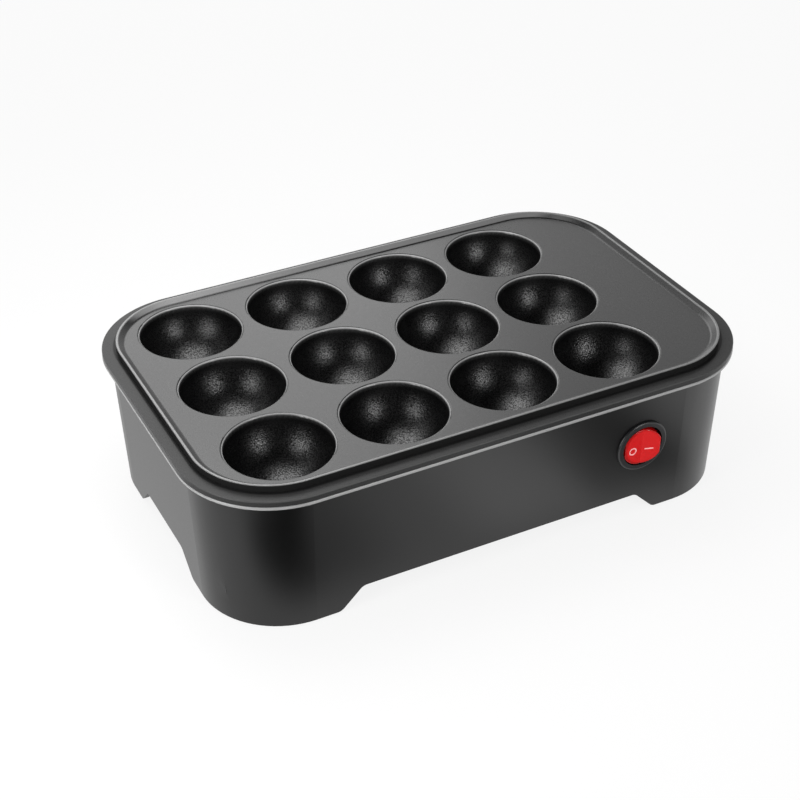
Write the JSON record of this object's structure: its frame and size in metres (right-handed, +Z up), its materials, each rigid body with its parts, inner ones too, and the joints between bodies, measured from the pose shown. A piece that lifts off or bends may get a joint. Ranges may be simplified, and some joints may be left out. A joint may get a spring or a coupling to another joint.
{
  "type": "takoyaki maker",
  "caption": "Counter-top cooker with round hemispherical cups in a dark lipped plate, on a black plastic housing with corner feet and a red rocker switch.",
  "frame": {"origin": "on the ground under the middle of the cooker", "axes": "+X along the long side towards the switch, -Y out of the front wall that carries the switch, +Z up"},
  "size_m": [0.2402, 0.1574, 0.0665],
  "materials": {
    "housing_plastic": "satin moulded black plastic",
    "plate_coating": "dark non-stick coat on die-cast aluminium, fine sprayed grain",
    "cover_plastic": "matt black plastic",
    "foot_rubber": "matt black rubber",
    "screw_steel": "zinc-plated steel",
    "tube_metal": "dull heated steel sheath",
    "ceramic": "glazed ceramic",
    "shield_metal": "mill-finish aluminium sheet",
    "phenolic": "dark phenolic moulding",
    "switch_black": "satin black plastic",
    "rocker_red": "translucent red plastic",
    "terminal_brass": "plain brass",
    "lamp_glass": "clear glass",
    "block_plastic": "pale plastic",
    "wire_brown": "brown sleeve",
    "wire_blue": "blue sleeve",
    "wire_green": "green sleeve"
  },
  "bodies": {
    "cooker": {"housing": "housing_plastic", "cooking_plate": "plate_coating", "bottom_cover": "cover_plastic", "rubber_feet": "foot_rubber", "cover_screws": "screw_steel", "plate_screws": "screw_steel", "plate_washers": "screw_steel", "heating_tube": "tube_metal", "heater_insulators": "ceramic", "heater_pins": "screw_steel", "heater_clamps": "screw_steel", "clamp_screws": "screw_steel", "heat_shield": "shield_metal", "thermostat_cap": "shield_metal", "thermostat_body": "phenolic", "thermostat_terminals": "terminal_brass", "thermostat_bracket": "screw_steel", "thermostat_screws": "screw_steel", "thermal_fuse": "shield_metal", "fuse_clip": "screw_steel", "fuse_screw": "screw_steel", "earth_tag": "terminal_brass", "earth_screw": "screw_steel", "switch_frame": "switch_black", "switch_terminals": "terminal_brass", "switch_lamp": "lamp_glass", "lamp_resistor": "ceramic", "cord_gland": "foot_rubber", "cord_clamp": "cover_plastic", "cord_clamp_screws": "screw_steel", "terminal_block": "block_plastic", "terminal_screws": "screw_steel", "live_wire": "wire_brown", "switched_wire": "wire_brown", "fuse_wire": "wire_brown", "heater_wire": "wire_brown", "neutral_wire": "wire_blue", "lamp_wire": "wire_blue", "earth_wire": "wire_green"},
    "rocker": {"switch_rocker": "rocker_red", "rocker_plunger": "switch_black", "plunger_spring": "screw_steel"},
    "contact": {"contact_blade": "terminal_brass"}
  },
  "joints": [
    {"name": "rocker_rock", "type": "hinge", "parent": "cooker", "child": "rocker", "pos_m": [0.06193, -0.07263, 0.03567], "axis": [0, -0.0339, 0.9994], "range_deg": [0, 18]},
    {"name": "contact_rock", "type": "hinge", "parent": "cooker", "child": "contact", "pos_m": [0.06193, -0.06513, 0.03592], "axis": [0, -0.0339, 0.9994], "range_deg": [-12, 0]}
  ],
  "couplings": [
    {"joint": "contact_rock", "follows": "rocker_rock", "ratio": -0.6666}
  ]
}
